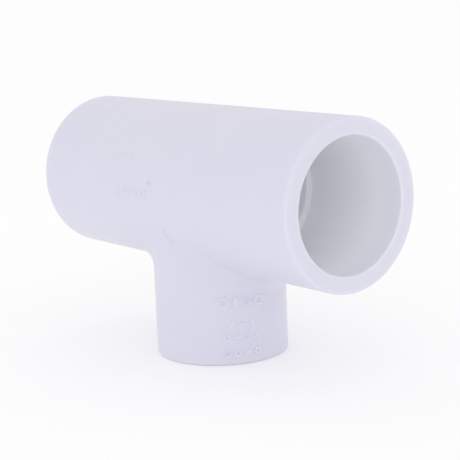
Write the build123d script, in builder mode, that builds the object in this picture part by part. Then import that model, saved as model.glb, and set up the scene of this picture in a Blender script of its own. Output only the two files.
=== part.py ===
"""Reducing tee for solvent-welded plastic pipe, moulded in one piece.

The run lies along X and takes a nominal 3/4 in pipe at each end. The branch points down
along Z and takes a nominal 1/2 in pipe. The origin is the centre of the branch's mouth,
so the tee stands on that mouth with the run above it. Everything is in millimetres.
"""

from build123d import *
import math
import os

INCH = 25.4

# Run: two sockets in line, with a waterway between them
run_length = 81.6
run_radius = 16.85
run_socket_radius = 1.052 * INCH / 2
run_socket_depth = 25.8
run_waterway_radius = 12.0

# Branch: one socket, square to the run
axis_height = 35.35
branch_radius = 13.97
branch_socket_radius = 0.842 * INCH / 2
branch_socket_depth = 0.875 * INCH
branch_waterway_radius = 9.2

# Edges
crotch_fillet = 6.5
rim_round = 0.6
mouth_round = 0.5
stop_round = 0.35

# What the mould leaves: the ridge where its halves met, and the stub of the gate
parting_height = 0.03
parting_width = 0.3
gate_x = -1.2
gate_turn = 8.6
gate_radius = 0.5
gate_height = 0.1
gate_pit_radius = 0.2
gate_pit_depth = 0.25

# Raised marks: rows round the branch, a row along the run, and dots above that row
branch_mark_height = 0.2
run_mark_height = 0.1
mark_root = 0.5
mark_line = 0.45
large_mark = 2.4
small_mark = 1.7
branch_mark_turn = 68.5
large_mark_step = 10.3
small_mark_step = 9.0
branch_row_heights = (13.3, 8.65, 5.9, 2.55)
run_mark = 2.3
run_mark_start = -12.0
run_mark_step = 3.0
dot_radius = 0.45
dot_turn = 26.0
dot_start = -16.0
dot_step = 3.6
dot_count = 3

run_end = run_length / 2
run_centre = Plane(origin=(0, 0, axis_height), x_dir=(0, 1, 0), z_dir=(1, 0, 0))


def on_branch(turn, height):
    """Plane facing out of the branch's wall, turned in degrees from the front towards +X."""
    angle = math.radians(turn)
    out = Vector(math.sin(angle), -math.cos(angle), 0)
    along = (math.cos(angle), math.sin(angle), 0)
    return Plane(
        origin=out * (branch_radius - mark_root) + Vector(0, 0, height),
        x_dir=along,
        z_dir=out,
    )


def on_run(turn, x):
    """Plane facing out of the run's wall, turned in degrees from the front towards the top."""
    angle = math.radians(turn)
    out = Vector(0, -math.cos(angle), math.sin(angle))
    return Plane(
        origin=out * (run_radius - mark_root) + Vector(x, 0, axis_height),
        x_dir=(1, 0, 0),
        z_dir=out,
    )


def outer_body(extra=0.0):
    """The solid outside: run and branch blended where they meet, with rounded rims."""
    with BuildPart() as body:
        with BuildSketch(run_centre.offset(-run_end)):
            Circle(run_radius + extra)
        extrude(amount=run_length)
        with BuildSketch(Plane.XY):
            Circle(branch_radius + extra)
        extrude(amount=axis_height)
        fillet(body.edges().filter_by(GeomType.BSPLINE), crotch_fillet - extra)
        rims = body.edges().filter_by(GeomType.CIRCLE)
        end_rims = rims.group_by(Axis.X)[0] + rims.group_by(Axis.X)[-1]
        fillet(end_rims + rims.group_by(Axis.Z)[0], rim_round)
    return body.part


def parting_line():
    """The fine ridge where the two halves of the mould met, in the plane of both axes."""
    with BuildPart() as ridge:
        add(outer_body(parting_height))
        with BuildSketch(Plane.XZ.offset(-parting_width / 2)):
            Rectangle(3 * run_length, 3 * run_length)
        extrude(amount=parting_width, mode=Mode.INTERSECT)
    return ridge.part


def outline_mark(sides, size):
    """Regular outline with its lines mark_line wide."""
    RegularPolygon(size / 2, sides)
    RegularPolygon(size / 2 - mark_line, sides, mode=Mode.SUBTRACT)


def hexagon_mark(size):
    """Open hexagon."""
    outline_mark(6, size)


def triangle_mark(size):
    """Open triangle."""
    outline_mark(3, size)


def diamond_mark(size):
    """Filled diamond, half as wide as it is high."""
    Polygon((0, -size / 2), (size / 4, 0), (0, size / 2), (-size / 4, 0))


def dash_mark(size):
    """Level bar."""
    Rectangle(0.8 * size, mark_line)


def branch_marks():
    """Rows of plain raised marks on the branch: one large row over three small ones."""
    rows = (
        (large_mark, large_mark_step, (hexagon_mark, diamond_mark, triangle_mark, hexagon_mark)),
        (small_mark, small_mark_step, (diamond_mark, dash_mark, diamond_mark)),
        (small_mark, small_mark_step, (hexagon_mark, dash_mark, triangle_mark, diamond_mark)),
        (small_mark, small_mark_step, (triangle_mark, hexagon_mark, dash_mark, hexagon_mark)),
    )
    with BuildPart() as marks:
        for height, (size, step, shapes) in zip(branch_row_heights, rows):
            first_turn = branch_mark_turn - step * (len(shapes) - 1) / 2
            for place, shape in enumerate(shapes):
                with BuildSketch(on_branch(first_turn + place * step, height)):
                    shape(size)
                extrude(amount=2 * mark_root)
        add(outer_body(branch_mark_height), mode=Mode.INTERSECT)
    return marks.part


def run_marks():
    """A short row of raised marks on the front of the run, with dots above it."""
    with BuildPart() as marks:
        for place, shape in enumerate((diamond_mark, hexagon_mark, dash_mark, hexagon_mark)):
            with BuildSketch(on_run(0, run_mark_start + place * run_mark_step)):
                shape(run_mark)
            extrude(amount=2 * mark_root)
        for place in range(dot_count):
            with BuildSketch(on_run(dot_turn, dot_start + place * dot_step)):
                Circle(dot_radius)
            extrude(amount=2 * mark_root)
        with BuildSketch(run_centre.offset(-run_end)):
            Circle(run_radius + run_mark_height)
        extrude(amount=run_length, mode=Mode.INTERSECT)
    return marks.part


def gate_stub():
    """What is left of the gate that filled the mould: a low round button with a pit in it."""
    with BuildPart() as stub:
        with BuildSketch(on_run(gate_turn, gate_x)):
            Circle(gate_radius)
        extrude(amount=mark_root + gate_height)
    return stub.part


def gate_pit():
    """The pit that the gate's pin left when it was torn off."""
    with BuildPart() as pit:
        with BuildSketch(on_run(gate_turn, gate_x).offset(mark_root + gate_height)):
            Circle(gate_pit_radius)
        extrude(amount=-gate_pit_depth)
    return pit.part


def cavity():
    """The space inside: sockets, pipe stops with rounded lips, and both waterways."""
    with BuildPart() as space:
        with BuildSketch(Plane.XZ):
            with BuildLine():
                Polyline(
                    (0, axis_height),
                    (0, axis_height + run_waterway_radius),
                    (run_end - run_socket_depth, axis_height + run_waterway_radius),
                    (run_end - run_socket_depth, axis_height + run_socket_radius),
                    (run_end - mouth_round, axis_height + run_socket_radius),
                )
                RadiusArc(
                    (run_end - mouth_round, axis_height + run_socket_radius),
                    (run_end, axis_height + run_socket_radius + mouth_round),
                    -mouth_round,
                )
                Polyline(
                    (run_end, axis_height + run_socket_radius + mouth_round),
                    (run_end, axis_height),
                    (0, axis_height),
                )
            make_face()
        revolve(axis=Axis((0, 0, axis_height), (1, 0, 0)))
        mirror(about=Plane.YZ)
        with BuildSketch(Plane.XZ):
            with BuildLine():
                Line((0, 0), (branch_socket_radius + mouth_round, 0))
                RadiusArc(
                    (branch_socket_radius + mouth_round, 0),
                    (branch_socket_radius, mouth_round),
                    mouth_round,
                )
                Polyline(
                    (branch_socket_radius, mouth_round),
                    (branch_socket_radius, branch_socket_depth),
                    (branch_waterway_radius, branch_socket_depth),
                    (branch_waterway_radius, axis_height),
                    (0, axis_height),
                    (0, 0),
                )
            make_face()
        revolve(axis=Axis.Z)
        stops = space.edges().filter_by(GeomType.CIRCLE).filter_by(
            lambda edge: edge.radius in (run_waterway_radius, branch_waterway_radius)
        )
        fillet(stops + space.edges().filter_by(GeomType.BSPLINE), stop_round)
    return space.part


with BuildPart() as tee_body:
    add(outer_body())
    add(parting_line())
    add(branch_marks())
    add(run_marks())
    add(gate_stub())
    add(cavity(), mode=Mode.SUBTRACT)
    add(gate_pit(), mode=Mode.SUBTRACT)

tee_body.part.label = "tee_body"
os.makedirs("parts", exist_ok=True)
export_step(tee_body.part, "parts/tee_body.step")
print("tee_body", round(tee_body.part.volume, 1), "mm3,", len(tee_body.part.faces()), "faces")
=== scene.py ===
"""Looks for a moulded plastic pipe tee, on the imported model's own frame. Units are metres.

The run lies along X, and the branch stands on the floor below its middle. The tee is one
moulding, so it is one node with one material, and that material tells the outside, the
rims and the socket walls apart by where they are on the part.
"""

import bmesh
import bpy
import math
from mathutils import Matrix, Vector


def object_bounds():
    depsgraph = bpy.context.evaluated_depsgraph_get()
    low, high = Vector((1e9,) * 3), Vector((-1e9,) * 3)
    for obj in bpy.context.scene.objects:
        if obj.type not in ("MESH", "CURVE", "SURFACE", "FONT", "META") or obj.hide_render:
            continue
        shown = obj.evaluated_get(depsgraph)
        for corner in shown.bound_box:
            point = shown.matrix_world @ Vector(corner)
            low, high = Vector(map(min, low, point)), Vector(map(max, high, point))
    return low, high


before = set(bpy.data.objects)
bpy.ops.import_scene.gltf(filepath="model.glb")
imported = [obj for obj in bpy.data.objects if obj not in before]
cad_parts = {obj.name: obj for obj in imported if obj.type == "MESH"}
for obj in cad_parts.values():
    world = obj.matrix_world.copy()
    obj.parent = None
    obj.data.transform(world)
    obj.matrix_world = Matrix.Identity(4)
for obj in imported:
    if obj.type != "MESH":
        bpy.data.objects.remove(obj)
cad_low, cad_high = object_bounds()

MM = 0.001
WHITE = (1, 1, 1, 1)

# The tee, as the CAD has it
run_radius = 16.85 * MM
run_socket_radius = 13.36 * MM
run_socket_depth = 25.8 * MM
run_waterway_radius = 12.0 * MM
branch_radius = 13.97 * MM
branch_socket_radius = 10.69 * MM
crotch_fillet = 6.5 * MM
lip_round = 0.5 * MM
parting_height = 0.03 * MM
gate_x = -1.2 * MM
gate_turn = math.radians(8.6)
run_end = cad_high.x
axis_height = cad_high.z - run_radius - parting_height
blend_foot = axis_height - run_radius - crotch_fillet
gate = (
    gate_x,
    -run_radius * math.cos(gate_turn),
    axis_height + run_radius * math.sin(gate_turn),
)

# Camera: where it stands round the tee, and where it looks
view_azimuth = 51.23
view_elevation = 11.0
view_roll = -2.38
view_distance = 278.3 * MM
view_lens = 104.2
aim = Vector((3.97 * MM, 0, 26.23 * MM))

# Light: an even white surround over a softly glowing table, and one large soft box
sky_strength = 0.89
key_power = 0.6
key_size = 0.8
key_distance = 0.9
key_azimuth = 45.0
key_elevation = 20.0
floor_radius = 12.0
floor_gap = 0.02 * MM
floor_albedo = 0.95
floor_roughness = 0.9
floor_glow = 0.13
tone_gamma = 1.2

# Plastic
outside_colour = (0.69, 0.68, 0.805, 1)
cloud_colour = (0.675, 0.665, 0.79, 1)
# Painted light in the bore: the socket walls are painted paler than the outside
painted_bore_light_colour = (0.905, 0.91, 0.972, 1)
# Painted highlight on the pipe stop's ledge
painted_stop_highlight_colour = (0.98, 0.98, 0.99, 1)
# Painted highlight on the raised marks, and the paler colour of the weld line
mark_highlight_and_weld_colour = (0.73, 0.72, 0.85, 1)
# Painted shade in the notch's groove
painted_notch_shade_colour = (0.60, 0.59, 0.69, 1)
speck_colour = (0.45, 0.43, 0.44, 1)
pvc_ior = 1.53
scatter_weight = 0.4
scatter_depth = 3.0 * MM
satin = (0.34, 0.44)
added_roughness = {"Blush": 0.08, "Rim": 0.12, "Scratch": 0.2, "Inside": -0.04}
relief_in_mm = {"Grain": 0.02, "Core": 0.012, "Weld": 0.03, "Notch": -0.06, "Scratch": -0.012}

# Edges of each place on the tee. A pair is where a change starts and where it ends.
branch_bore_top = (-2.0 * MM, -1.0 * MM)
# Painted light in the bore: this share of the paler colour at the mouth, all of it at full_depth
# in
full_depth = 8.0 * MM
bore_light_at_mouth = 0.45
# Where the painted highlight on the pipe stop's ledge lies
stop_ledge = (run_waterway_radius, run_waterway_radius + 0.3 * MM)
stop_start = (run_socket_depth - 0.3 * MM, run_socket_depth)
stop_finish = (run_socket_depth + 0.4 * MM, run_socket_depth + 0.6 * MM)
rim_width = 1.2 * MM
blend_rise = 18.0 * MM
mark_edge = (0.05 * MM, 0.15 * MM)
marks_top = (14.4 * MM, 15.2 * MM)

# Flow marks round the gate
swirl_scale = 45.0
swirl_reach = 14 * MM
cloud_scale = 70.0
cloud_edge = (0.3, 0.7)
cloud_share = 0.7
streak_scale = 9.0
streak_stretch = 120.0
streak_edge = (0.35, 0.7)
streak_share = 0.3
blush_reach = (1.0 * MM, 9.0 * MM)

# Weld line. Its heights are above the run's axis.
weld_waver = 2.6 * MM
weld_waver_scale = 260.0
weld_lean_heights = (-8.0 * MM, 3.0 * MM)
weld_lean = (2.3 * MM, 0.3 * MM)
weld_edge = (0.08 * MM, 0.45 * MM)
weld_front = (-12.0 * MM, -10.5 * MM)
weld_head = (10.0 * MM, 13.0 * MM)
weld_foot = (-11.0 * MM, -9.0 * MM)
weld_patch_scale = 420.0
weld_patch_edge = (0.42, 0.62)
# How far the weld line takes the paler colour of the raised marks' painted highlight
weld_paling = 0.6

# Notch beside the foot of the weld line
notch_centre = (2.6 * MM, -14.9 * MM, axis_height - 8.2 * MM)
notch_stretch = (1.0, 1.0, 0.55)
notch_radius = 1.7 * MM
notch_edge = (0.05 * MM, 0.5 * MM)
notch_wobble = 0.8 * MM
notch_wobble_scale = 500.0
notch_slant = 0.5
notch_opening = (-0.6 * MM, 1.0 * MM)
# How much painted shade fills the notch's groove
notch_shade = 0.6

# Grain of the mould, and the uneven sheen over it
fine_grain_scale = 3800.0
fine_grain_share = 0.35
soft_grain_scale = 420.0
sheen_scale = 150.0
sheen_edge = (0.3, 0.7)

# Scuffs: the turn and tilt of each direction in radians, and the length and width of a scratch
scuff_directions = ((0.4, 0.3), (1.7, 1.1), (2.6, -0.6))
scuff_size = (4.0 * MM, 0.16 * MM, 0.16 * MM)
scuff_edge = (0.70, 0.76)
scuff_patch_scale = 110.0
scuff_patch_edge = (0.5, 0.68)
scuff_amount = 0.6

# Specks: one cell in seven holds a dot, and dots are sized in parts of a cell
speck_cells = 190.0
speck_least = 0.006
speck_spread = 0.018
speck_cutoff = 0.86
speck_shade = 0.5

# Marks of the steel cores: close rings along the run, and lines drawn lengthwise
core_ring_scales = (2600.0, 30.0, 30.0)
core_line_scales = (25.0, 1500.0, 1500.0)
core_ring_share = 0.6

# Places of a Mix node's two colours among its inputs, and of the mixed colour it puts out
UNDER, OVER, MIXED = 6, 7, 2


class Wiring:
    """Adds nodes to one node tree and links them. Most calls return the new node's result."""

    def __init__(self, tree):
        self.tree = tree

    def feed(self, socket, value):
        """Links a socket to another node's result, or gives it a plain value."""
        if isinstance(value, bpy.types.NodeSocket):
            self.tree.links.new(value, socket)
        else:
            socket.default_value = value

    def plug(self, node, **sockets):
        """Feeds a node's sockets by name, with _ for each space."""
        for name, value in sockets.items():
            self.feed(node.inputs[name.replace("_", " ")], value)

    def add(self, kind, settings=None, **sockets):
        """The new node itself, with its settings and its named sockets fed."""
        made = self.tree.nodes.new(kind)
        for name, value in (settings or {}).items():
            setattr(made, name, value)
        self.plug(made, **sockets)
        return made

    def calculate(self, kind, operation, values):
        """A maths node, with its sockets fed in order."""
        made = self.add(kind, {"operation": operation})
        for socket, value in zip(made.inputs, values):
            self.feed(socket, value)
        return made

    def math(self, operation, *values):
        return self.calculate("ShaderNodeMath", operation, values).outputs[0]

    def vector(self, operation, *values):
        return self.calculate("ShaderNodeVectorMath", operation, values).outputs[0]

    def length(self, vector):
        return self.calculate("ShaderNodeVectorMath", "LENGTH", [vector]).outputs["Value"]

    def plus(self, total, *others):
        for other in others:
            total = self.math("ADD", total, other)
        return total

    def minus(self, value, other):
        return self.math("SUBTRACT", value, other)

    def times(self, product, *others):
        for other in others:
            product = self.math("MULTIPLY", product, other)
        return product

    def split(self, vector):
        """The X, Y and Z of a vector."""
        return tuple(self.add("ShaderNodeSeparateXYZ", Vector=vector).outputs)

    def join(self, x=0.0, y=0.0, z=0.0):
        """The vector with this X, Y and Z."""
        return self.add("ShaderNodeCombineXYZ", X=x, Y=y, Z=z).outputs[0]

    def ramp(self, value, low, high, start=0.0, end=1.0):
        """start where value is low, end where it is high, smooth between them."""
        made = self.add(
            "ShaderNodeMapRange",
            {"interpolation_type": "SMOOTHSTEP"},
            Value=value,
            From_Min=low,
            From_Max=high,
            To_Min=start,
            To_Max=end,
        )
        return made.outputs["Result"]

    def fade(self, value, low, high):
        """1 where value is low, 0 where it is high, smooth between them."""
        return self.ramp(value, low, high, 1.0, 0.0)

    def noise(self, vector, scale, detail=2.0, roughness=0.5, result="Fac"):
        made = self.add(
            "ShaderNodeTexNoise",
            Vector=vector,
            Scale=scale,
            Detail=detail,
            Roughness=roughness,
        )
        return made.outputs[result]

    def blend(self, factor, under, over):
        """The colour under where the factor is 0, and the colour over where it is 1."""
        made = self.add("ShaderNodeMix", {"data_type": "RGBA"}, Factor=factor)
        self.feed(made.inputs[UNDER], under)
        self.feed(made.inputs[OVER], over)
        return made.outputs[MIXED]


class Effect(Wiring):
    """A node group that reads a Position and any amounts, and gives a value for each name."""

    def __init__(self, name, gives, **amounts):
        super().__init__(bpy.data.node_groups.new(name, "ShaderNodeTree"))
        sockets = self.tree.interface
        sockets.new_socket("Position", in_out="INPUT", socket_type="NodeSocketVector")
        for label, usual in amounts.items():
            kind = "NodeSocketVector" if isinstance(usual, tuple) else "NodeSocketFloat"
            socket = sockets.new_socket(label, in_out="INPUT", socket_type=kind)
            socket.default_value = usual
        for label in gives:
            sockets.new_socket(label, in_out="OUTPUT", socket_type="NodeSocketFloat")
        self.taken = self.tree.nodes.new("NodeGroupInput").outputs
        self.given = self.tree.nodes.new("NodeGroupOutput").inputs

    def give(self, label, value):
        self.feed(self.given[label], value)


def new_material(name):
    """A material, the wiring of its nodes, and its shader."""
    material = bpy.data.materials.new(name)
    material.use_nodes = True
    tree = material.node_tree
    return material, Wiring(tree), tree.nodes["Principled BSDF"]


def pointing(azimuth, elevation):
    """Unit vector from the tee towards an azimuth (from the front towards +X) and a height."""
    turn, lift = math.radians(azimuth), math.radians(elevation)
    flat = math.cos(lift)
    return Vector((math.sin(turn) * flat, -math.cos(turn) * flat, math.sin(lift)))


def link_object(name, data):
    thing = bpy.data.objects.new(name, data)
    bpy.context.scene.collection.objects.link(thing)
    return thing


def make_camera():
    """A long lens a little above the run's axis, turned towards its open end."""
    back = pointing(view_azimuth, view_elevation)
    level_right = Vector((0, 0, 1)).cross(back).normalized()
    level_up = back.cross(level_right)
    roll = math.radians(view_roll)
    right = math.cos(roll) * level_right + math.sin(roll) * level_up
    up = back.cross(right)
    camera = link_object("camera", bpy.data.cameras.new("camera"))
    camera.data.lens = view_lens
    camera.data.clip_start = 10 * MM
    camera.data.clip_end = 2 * floor_radius
    camera.rotation_mode = "QUATERNION"
    camera.rotation_quaternion = Matrix((right, up, back)).transposed().to_quaternion()
    camera.location = aim + back * view_distance
    bpy.context.scene.camera = camera


def make_light():
    """The white surround, and a large soft box in front of the tee."""
    world = bpy.data.worlds.new("surround")
    bpy.context.scene.world = world
    world.use_nodes = True
    sky = world.node_tree.nodes["Background"]
    sky.inputs["Color"].default_value = WHITE
    sky.inputs["Strength"].default_value = sky_strength
    lamp = bpy.data.lights.new("key", "AREA")
    lamp.shape = "DISK"
    lamp.size = key_size
    lamp.energy = key_power
    key = link_object("key", lamp)
    back = pointing(key_azimuth, key_elevation)
    key.location = aim + back * key_distance
    key.rotation_mode = "QUATERNION"
    key.rotation_quaternion = back.to_track_quat("Z", "Y")


def make_floor():
    """A wide matt white table, lit a little from below."""
    mesh = bpy.data.meshes.new("floor")
    bm = bmesh.new()
    bmesh.ops.create_circle(bm, cap_ends=True, radius=floor_radius, segments=128)
    bm.to_mesh(mesh)
    bm.free()
    floor = link_object("floor", mesh)
    material, w, shader = new_material("pale_floor")
    w.plug(
        shader,
        Base_Color=(floor_albedo, floor_albedo, floor_albedo, 1),
        Roughness=floor_roughness,
        Specular_IOR_Level=0.0,
        Emission_Color=WHITE,
        Emission_Strength=floor_glow,
    )
    mesh.materials.append(material)
    floor.location.z = -floor_gap


def places():
    """Where a point is: inside, on a pipe stop's ledge, a rim, or the raised marks, and how much
    painted light the bore's wall gets.
    """
    w = Effect("places", ["Inside", "Painted_bore_light", "Stop_highlight", "Rim", "Raised"])
    x, y, z = w.split(w.taken["Position"])
    above_axis = w.minus(z, axis_height)
    from_run = w.length(w.join(y, above_axis))
    from_branch = w.length(w.join(x, y))
    in_run = w.fade(from_run, run_socket_radius, run_socket_radius + lip_round)
    in_branch = w.fade(from_branch, branch_socket_radius, branch_socket_radius + lip_round)
    in_branch = w.times(in_branch, w.fade(above_axis, *branch_bore_top))
    inside = w.math("MAXIMUM", in_run, in_branch)
    w.give("Inside", inside)

    from_end = w.minus(run_end, w.math("ABSOLUTE", x))
    from_mouth = w.math("MINIMUM", from_end, z)
    # Painted light in the bore: the wall is painted paler, the more so deeper in
    w.give("Painted_bore_light", w.times(inside, w.ramp(from_mouth, 0.0, full_depth, bore_light_at_mouth, 1.0)))
    w.give("Rim", w.fade(from_mouth, 0.0, rim_width))

    # Painted highlight on the pipe stop's ledge, where its rounded edge would catch the light
    ledge = w.ramp(from_run, *stop_ledge)
    at_stop = w.times(w.ramp(from_end, *stop_start), w.fade(from_end, *stop_finish))
    w.give("Stop_highlight", w.times(ledge, at_stop, inside))

    # The crotch's blend starts higher up the branch towards the front and the back
    foot = w.plus(blend_foot, w.math("DIVIDE", w.times(y, y), blend_rise))
    climb = w.math("MAXIMUM", w.minus(z, foot), 0.0)
    flare = w.math("DIVIDE", w.times(climb, climb), 2 * crotch_fillet)
    above_wall = w.minus(w.minus(from_branch, flare), branch_radius)
    w.give("Raised", w.times(w.ramp(above_wall, *mark_edge), w.fade(z, *marks_top)))
    return w.tree


def flow_marks():
    """Cloudy streaks that the plastic leaves as it runs out from the gate."""
    w = Effect("flow_marks", ["Cloud", "Streak", "Blush"], Gate=(0.0, 0.0, 0.0), Stretch=5.0)
    away = w.vector("SUBTRACT", w.taken["Position"], w.taken["Gate"])
    swirl = w.noise(away, swirl_scale, 1.0, result="Color")
    swirl = w.vector("SUBTRACT", swirl, (0.5, 0.5, 0.5))
    bent = w.vector("ADD", away, w.vector("MULTIPLY", swirl, (swirl_reach,) * 3))
    w.give("Cloud", w.noise(bent, cloud_scale, 3.0))
    rings = w.times(w.length(bent), w.taken["Stretch"])
    heading_x, _, heading_z = w.split(w.vector("NORMALIZE", bent))
    w.give("Streak", w.noise(w.join(heading_x, heading_z, rings), streak_scale, 3.0, 0.6))
    w.give("Blush", w.fade(w.length(away), *blush_reach))
    return w.tree


def weld_line():
    """The wavering line where two fronts of plastic met, on the front from shoulder to saddle."""
    w = Effect("weld_line", ["Weld"])
    position = w.taken["Position"]
    x, y, z = w.split(position)
    above_axis = w.minus(z, axis_height)
    waver = w.times(w.minus(w.noise(w.join(z=z), weld_waver_scale), 0.5), weld_waver)
    lean = w.ramp(above_axis, *weld_lean_heights, *weld_lean)
    gap = w.math("ABSOLUTE", w.minus(x, w.plus(waver, lean)))
    line = w.times(
        w.fade(gap, *weld_edge),
        w.fade(y, *weld_front),
        w.fade(above_axis, *weld_head),
        w.ramp(above_axis, *weld_foot),
        w.ramp(w.noise(position, weld_patch_scale), *weld_patch_edge),
    )
    w.give("Weld", line)
    return w.tree


def hooked_notch():
    """The shallow hook above the saddle: an uneven ring, open on one side."""
    w = Effect("notch", ["Notch"])
    away = w.vector("SUBTRACT", w.taken["Position"], notch_centre)
    wobble = w.times(w.noise(away, notch_wobble_scale), notch_wobble)
    reach = w.plus(w.length(w.vector("MULTIPLY", away, notch_stretch)), wobble)
    ring = w.math("ABSOLUTE", w.minus(reach, notch_radius))
    x, _, z = w.split(away)
    slant = w.plus(x, w.times(z, notch_slant))
    w.give("Notch", w.times(w.fade(ring, *notch_edge), w.fade(slant, *notch_opening)))
    return w.tree


def mould_grain():
    """Skin of the mould: fine worn grain with a wider, softer unevenness."""
    w = Effect("grain", ["Grain", "Sheen"])
    position = w.taken["Position"]
    fine = w.noise(position, fine_grain_scale, 3.0, 0.6)
    soft = w.noise(position, soft_grain_scale)
    w.give("Grain", w.plus(w.times(fine, fine_grain_share), w.times(soft, 1 - fine_grain_share)))
    w.give("Sheen", w.noise(position, sheen_scale, 4.0, 0.65))
    return w.tree


def scuffs():
    """Fine short scratches from handling, in a few directions, in loose patches."""
    w = Effect("scuffs", ["Scratch"], Amount=0.5)
    position = w.taken["Position"]
    found = 0.0
    for turn, tilt in scuff_directions:
        laid = w.add(
            "ShaderNodeMapping",
            {"vector_type": "TEXTURE"},
            Vector=position,
            Rotation=(tilt, 0.5 * tilt, turn),
            Scale=scuff_size,
        ).outputs[0]
        hair = w.ramp(w.noise(laid, 1.0, 1.0), *scuff_edge)
        found = w.math("MAXIMUM", found, hair)
    patch = w.ramp(w.noise(position, scuff_patch_scale), *scuff_patch_edge)
    w.give("Scratch", w.times(found, patch, w.taken["Amount"]))
    return w.tree


def specks():
    """Sparse dark points of scorched plastic and dust caught in the surface."""
    w = Effect("specks", ["Speck"])
    cells = w.add("ShaderNodeTexVoronoi", Vector=w.taken["Position"], Scale=speck_cells).outputs
    draw = w.add("ShaderNodeSeparateColor", Color=cells["Color"]).outputs
    size = w.plus(w.times(draw["Green"], speck_spread), speck_least)
    dot = w.math("LESS_THAN", cells["Distance"], size)
    w.give("Speck", w.times(dot, w.math("GREATER_THAN", draw["Red"], speck_cutoff)))
    return w.tree


def core_marks():
    """What the steel cores leave on a socket's wall: turned rings and drawn lines."""
    w = Effect("core_marks", ["Core"])
    rings = w.noise(w.vector("MULTIPLY", w.taken["Position"], core_ring_scales), 1.0)
    lines = w.noise(w.vector("MULTIPLY", w.taken["Position"], core_line_scales), 1.0, 1.0)
    w.give("Core", w.plus(w.times(rings, core_ring_share), w.times(lines, 1 - core_ring_share)))
    return w.tree


def find_marks(w):
    """Every mask and pattern on the plastic, by name."""
    position = w.add("ShaderNodeTexCoord").outputs["Object"]
    effects = (
        (places(), {}),
        (flow_marks(), {"Gate": gate, "Stretch": streak_stretch}),
        (weld_line(), {}),
        (hooked_notch(), {}),
        (mould_grain(), {}),
        (scuffs(), {"Amount": scuff_amount}),
        (specks(), {}),
        (core_marks(), {}),
    )
    marks = {}
    for tree, amounts in effects:
        placed = w.add("ShaderNodeGroup", {"node_tree": tree}, Position=position, **amounts)
        marks.update({socket.name: socket for socket in placed.outputs})
    marks["Core"] = w.times(marks["Core"], marks["Inside"])
    marks["Scratch"] = w.times(marks["Scratch"], w.minus(1.0, marks["Inside"]))
    return marks


def skin_colour(w, marks):
    """Faintly clouded outside, socket walls painted paler as painted light in the bore, a painted
    highlight on the pipe stop and the raised marks, a paler weld line, painted shade in the
    notch, and dark specks.
    """
    cloud = w.times(w.ramp(marks["Cloud"], *cloud_edge), cloud_share)
    streak = w.times(w.ramp(marks["Streak"], *streak_edge), streak_share)
    layers = (
        (w.plus(cloud, streak), cloud_colour),
        # Painted light in the bore
        (marks["Painted_bore_light"], painted_bore_light_colour),
        # Painted highlight on the pipe stop's ledge
        (marks["Stop_highlight"], painted_stop_highlight_colour),
        # Painted highlight on the raised marks, and the paler weld line
        (w.math("MAXIMUM", marks["Raised"], w.times(marks["Weld"], weld_paling)), mark_highlight_and_weld_colour),
        # Painted shade in the notch's groove
        (w.times(marks["Notch"], notch_shade), painted_notch_shade_colour),
        (w.times(marks["Speck"], speck_shade), speck_colour),
    )
    colour = outside_colour
    for mask, over in layers:
        colour = w.blend(mask, colour, over)
    return colour


def skin_roughness(w, marks):
    """Satin, a little duller on the rims and round the gate, and smoother in the sockets."""
    roughness = w.ramp(marks["Sheen"], *sheen_edge, *satin)
    for name, amount in added_roughness.items():
        roughness = w.plus(roughness, w.times(marks[name], amount))
    return roughness


def skin_normal(w, marks):
    """The finest relief, all in one bump."""
    heights = [w.times(marks[name], height) for name, height in relief_in_mm.items()]
    bump = w.add("ShaderNodeBump", Height=w.plus(*heights), Strength=1.0, Distance=1.0 * MM)
    return bump.outputs["Normal"]


def make_pvc():
    """White moulded pipe-fitting plastic: faintly clouded, softly see-through, satin skin."""
    material, w, shader = new_material("moulded_pvc")
    marks = find_marks(w)
    w.plug(
        shader,
        Base_Color=skin_colour(w, marks),
        Roughness=skin_roughness(w, marks),
        Normal=skin_normal(w, marks),
        IOR=pvc_ior,
        Subsurface_Weight=scatter_weight,
        Subsurface_Scale=scatter_depth,
        Subsurface_Radius=(1.0, 1.0, 1.0),
    )
    return material


make_camera()
make_light()
make_floor()
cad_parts["tee_body"].material_slots[0].material = make_pvc()
bpy.context.scene.view_settings.view_transform = "Standard"
bpy.context.scene.view_settings.gamma = tone_gamma
